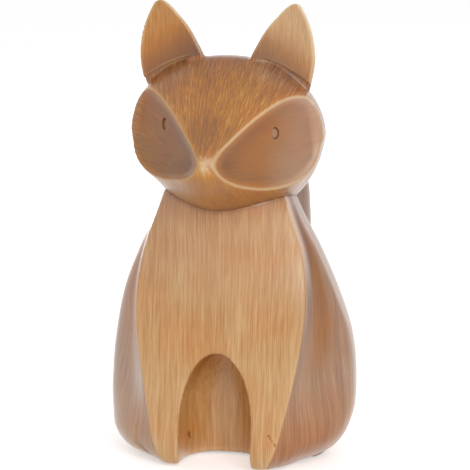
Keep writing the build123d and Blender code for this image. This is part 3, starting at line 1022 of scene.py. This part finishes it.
# Colours of the paint by tone, and of the light lines on the ridges
shades = [
    (0.30, "4A2E1A"),
    (0.45, "734C2F"),
    (0.56, "8F6543"),
    (0.66, "A8774E"),
    (0.77, "C4976D"),
    (0.86, "DBB68C"),
    (1.0, "F3E0C6"),
]
line_colour = "E9D3A8"


def new_material(name):
    material = bpy.data.materials.new(name)
    material.use_nodes = True
    material.node_tree.nodes.clear()
    return material, Tree(material.node_tree)


def painted_resin():
    """Resin painted to look like carved wood. The tone is changed by the strokes, the light lines, the wash
    with its painted shade and the nicks, read as a colour from the shades, and warmed by its saturation."""
    material, t = new_material("painted_resin")
    tone, wash_and_shade, ridge, picked, warmth, brushed, glazed = [
        t.node("ShaderNodeAttribute", attribute_name=name).outputs["Fac"]
        for name in mark_names
    ]
    stroke = t.node("ShaderNodeAttribute", attribute_name="stroke").outputs["Vector"]
    place = t.node("ShaderNodeTexCoord").outputs["Object"]
    strokes = t.node("ShaderNodeGroup", {"Stroke": stroke}, node_tree=brush_strokes)
    fine, middle, broad, dashes = [strokes.outputs[name] for name in stroke_outputs]
    value = tone
    for noise, strength in ((fine, 0.26), (middle, 0.14), (broad, 0.07)):
        shown = t.math("MULTIPLY", brushed, strength)
        value = t.math("ADD", value, t.math("MULTIPLY", t.math("SUBTRACT", noise, 0.5), shown))
    value = t.math("SUBTRACT", value, t.math("MULTIPLY", dashes, t.math("MULTIPLY", brushed, 0.045)))
    line = t.node("ShaderNodeGroup", {"Gap": ridge, "Fine": fine}, node_tree=picked_line)
    light = t.math("MULTIPLY", line.outputs["Light"], picked)
    value = t.math("ADD", value, t.math("MULTIPLY", light, 0.1))
    # The wash and the painted shade darken the tone, broken by the strokes
    broken = t.span(middle, 0.25, 0.75, 1.15, 0.75)
    value = t.math("SUBTRACT", value, t.math("MULTIPLY", t.math("MULTIPLY", wash_and_shade, broken), 0.2))
    pits = 0.0
    for where, radius in nicks:
        pit = t.node("ShaderNodeGroup", {"Place": place, "Middle": where, "Radius": radius}, node_tree=nick)
        pits = t.math("MAXIMUM", pits, pit.outputs["Pit"])
    value = t.math("SUBTRACT", value, t.math("MULTIPLY", pits, 0.22), clamp=True)
    ramp = t.node("ShaderNodeValToRGB", {"Fac": value})
    for element, (position, code) in zip(ramp.color_ramp.elements, (shades[0], shades[-1])):
        element.position = position
        element.color = paint(code)
    for position, code in shades[1:-1]:
        ramp.color_ramp.elements.new(position).color = paint(code)
    cloud = t.math("SUBTRACT", t.noise(place, 34.0, 2.0, 0.5, 0.4), 0.5)
    warm = t.math("ADD", 0.8, t.math("MULTIPLY", warmth, 0.5))
    full = t.math("ADD", t.math("MULTIPLY", cloud, 0.35), warm)
    hue = t.math("SUBTRACT", 0.497, t.math("MULTIPLY", cloud, 0.03))
    colour = {"Color": ramp.outputs["Color"], "Saturation": full, "Hue": hue}
    rubbed = t.node("ShaderNodeHueSaturation", colour)
    lined = t.mix(t.math("MULTIPLY", light, 0.5), rubbed.outputs["Color"], paint(line_colour))
    relief = t.math("ADD", fine, t.math("MULTIPLY", middle, 0.6))
    relief = t.math("SUBTRACT", relief, t.math("MULTIPLY", pits, 3.0))
    finish = {"Base Color": lined, "Specular IOR Level": 0.5, "Coat Weight": glazed, "Coat Roughness": 0.3}
    finish["Roughness"] = t.span(middle, 0.3, 0.7, 0.4, 0.5)
    finish["Normal"] = t.bump(relief, 0.12, 0.0004)
    t.surface(finish)
    return material


resin_paint = painted_resin()


def plain_finish(name, dark, light, scale, stretch, rough, metal=0.0, bump_depth=0.0003):
    """A worked surface: two close colours mixed by grain along one direction, with its own roughness."""
    material, t = new_material(name)
    place = t.node("ShaderNodeTexCoord").outputs["Object"]
    mapping = t.node("ShaderNodeMapping", {"Vector": place, "Scale": [scale * share for share in stretch]})
    grain = t.noise(mapping.outputs["Vector"], 1.0, 4.0, 0.6, 0.4)
    cloud = t.noise(place, scale / 8, 2.0, 0.5)
    share = t.span(t.math("ADD", grain, t.math("MULTIPLY", cloud, 0.4)), 0.5, 0.95)
    finish = {"Base Color": t.mix(share, paint(dark), paint(light)), "Metallic": metal}
    finish["Roughness"] = t.span(grain, 0.3, 0.7, rough - 0.08, rough + 0.08)
    t.surface({**finish, "Normal": t.bump(grain, 0.4, bump_depth)})
    return material


dowel_beech = plain_finish("dowel_beech", "B98A58", "DDB887", 900.0, (1, 1, 0.06), 0.6)
plate_fibreboard = plain_finish("plate_fibreboard", "7A5B3C", "A98761", 1400.0, (1, 1, 1), 0.75)
pin_steel = plain_finish("pin_steel", "8D8F92", "C4C7CA", 1600.0, (0.05, 0.05, 1), 0.32, 1.0, 0.0001)
plug_rubber = plain_finish("plug_rubber", "2A2826", "3B3835", 2200.0, (1, 1, 1), 0.62)
pad_felt = plain_finish("pad_felt", "3B2E24", "5A4838", 2600.0, (1, 1, 0.5), 0.95, 0.0, 0.0006)

# Castings
neck_overlap = 1.2
head_form = solid("head_casting", head_rings())
neck_socket = solid("neck_socket", head_rings() + np.array([0, 0, neck_overlap]))
head_form = joined(head_form, [solid("ear", ear_rings(side)) for side in (-1, 1)], "UNION")
body_form = solid("body_casting", body_rings())
pad_places = [(side * paw_pad_offset, -paw_pad_reach) for side in (-1, 1)]
pad_radius = pad_diameter / 2 + pad_clearance
cuts = [neck_socket, solid("pocket", pocket_rings()), solid("plate_seat", seat_rings())]
for place in pad_places:
    cuts.append(solid("pad_seat", disc_rings(place, pad_radius, -1.0, foot_gap + pad_recess)))
body_form = joined(body_form, cuts, "DIFFERENCE")
tail_form = solid("tail_casting", tail_rings())
back_form = solid("back_form", body_rings() + np.array([0, glue_line, 0]))
tail_form = joined(tail_form, [back_form], "DIFFERENCE")

cast(head_form, "head", head_worked)
cast(body_form, "body", body_worked)
cast(tail_form, "tail")
skins = {form.name: mesh_points(form.data) / metre for form in (head_form, body_form, tail_form)}
eye_levels = [-eye_sink - eye_line_depth, eye_depth]
eye_holes = [solid("eye_hole", eye_rings(side, [1, 1], eye_levels, eye_groove)) for side in (-1, 1)]
joined(head_form, eye_holes, "DIFFERENCE")
head_marks(head_form, skins["body_casting"])
body_marks(body_form, skins["head_casting"])
tail_marks(tail_form, np.concatenate([skins["body_casting"], skins["head_casting"]]))
castings = [(head_form, "head"), (body_form, "body"), (tail_form, "tail")]

# Eyes: inlays with a soft dome inside an incised ring
dome_shares = [0.98, 1.0, 1.0, 0.985, 0.93, 0.88, 0.82, 0.7, 0.4, 0.15]
dome_depths = [-eye_depth, -eye_depth + 0.3, -0.1, -0.02, -0.2, -0.2, -0.02, 0.0, 0.03, 0.03]
dome_depths = np.array(dome_depths) - eye_sink
for side, node in ((1, "eye_left"), (-1, "eye_right")):
    inlay = solid(node + "_inlay", eye_rings(side, dome_shares, dome_depths, eye_groove - eye_line))
    eye_marks(inlay, side)
    castings.append((inlay, node))

for piece, node in castings:
    piece.data.materials.clear()
    piece.data.materials.append(resin_paint)
    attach(piece, "root")
    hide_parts(node)

# Felt pads with a soft cut edge
for node in [f"felt_pad_{row}_{side}" for row in ("paw", "haunch") for side in ("right", "left")]:
    low, high = [np.array(corner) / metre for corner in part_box(node)]
    middle = (low + high) / 2
    turn = np.linspace(0, 2 * math.pi, 64, endpoint=False)[None, :]
    share = np.array([0.0, 0.6, 0.95, 1.0, 1.0, 0.95, 0.6, 0.0])[:, None]
    rise = np.array([0.0, 0.0, 0.01, 0.12, 0.88, 0.99, 1.0, 1.0])[:, None]
    frayed = 1 - 0.012 * (1 + np.sin(9 * turn) * np.cos(5 * turn + 1)) * (share > 0.9)
    radius = pad_diameter / 2 * share * frayed
    across, along = middle[0] + radius * np.cos(turn), middle[1] + radius * np.sin(turn)
    pad = solid(node + "_disc", ringed(across, along, low[2] + rise * (high[2] - low[2]))[1:-1])
    pad.data.shade_smooth()
    pad.data.materials.append(pad_felt)
    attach(pad, "root")
    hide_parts(node)

# Finishes of the nodes that stay as they are
finishes = {
    "neck_dowel": dowel_beech,
    "base_plate": plate_fibreboard,
    "tail_pin_upper": pin_steel,
    "tail_pin_lower": pin_steel,
    "pour_plug": plug_rubber,
}
for node, material in finishes.items():
    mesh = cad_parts[node].data
    mesh.materials.clear()
    mesh.materials.append(material)

# Studio


def seen_rays(t):
    """One where the camera, a gloss or glass sees a surface, nothing where it only gives light."""
    rays = t.node("ShaderNodeLightPath").outputs
    seen = t.math("MAXIMUM", rays["Is Camera Ray"], rays["Is Glossy Ray"])
    return t.math("MAXIMUM", seen, rays["Is Transmission Ray"])


def aimed(name, data, place, target):
    """A lamp or a camera at a place, looking at a target."""
    made = linked(name, data)
    made.location = place
    made.rotation_mode = "QUATERNION"
    made.rotation_quaternion = (Vector(target) - Vector(place)).to_track_quat("-Z", "Y")
    return made


floor_size = 6.0
floor_glow = 0.5
tent_light = 0.5
floor_mesh = bpy.data.meshes.new("floor")
half = floor_size / 2
corners = [(-half, -half, 0), (half, -half, 0), (half, half, 0), (-half, half, 0)]
floor_mesh.from_pydata(corners, [], [(0, 1, 2, 3)])
floor = linked("floor", floor_mesh)
floor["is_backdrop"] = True
floor_paper, t = new_material("floor_paper")
glow = t.math("MULTIPLY", seen_rays(t), floor_glow)
paper = {"Base Color": (0.86, 0.86, 0.86, 1), "Roughness": 0.9}
t.surface({**paper, "Emission Color": (1, 1, 1, 1), "Emission Strength": glow})
floor_mesh.materials.append(floor_paper)

world = bpy.data.worlds.new("white_tent")
bpy.context.scene.world = world
world.use_nodes = True
world.node_tree.nodes.clear()
t = Tree(world.node_tree)
brightness = t.span(seen_rays(t), 0, 1, tent_light, 1.0)
sky = t.node("ShaderNodeBackground", {"Color": (1, 1, 1, 1), "Strength": brightness})
t.node("ShaderNodeOutputWorld", {"Surface": sky.outputs[0]})


def lamp(name, place, power, size):
    """A soft square lamp that looks at the middle of the ornament."""
    light = bpy.data.lights.new(name, "AREA")
    light.energy = power
    light.size = size
    aimed(name, light, place, (0, 0, 0.1))


lamp("key_lamp", (0.75, -1.15, 0.85), 9.0, 0.9)
lamp("right_edge_lamp", (0.95, 1.0, 0.4), 3.0, 0.8)
lamp("left_edge_lamp", (-0.85, 1.15, 0.2), 8.0, 0.8)

# Camera at the photograph's place: 15 degrees towards the fox's left, 11 degrees up
camera_data = bpy.data.cameras.new("camera")
camera_data.sensor_width = 36.0
camera_data.lens = 232.7
camera_data.clip_start = 0.05
camera_data.clip_end = 20.0
camera_place = (0.36235, -1.35230, 0.37613)
bpy.context.scene.camera = aimed("camera", camera_data, camera_place, (0, 0, 0.104))
bpy.context.scene.view_settings.view_transform = "Standard"

low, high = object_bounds()
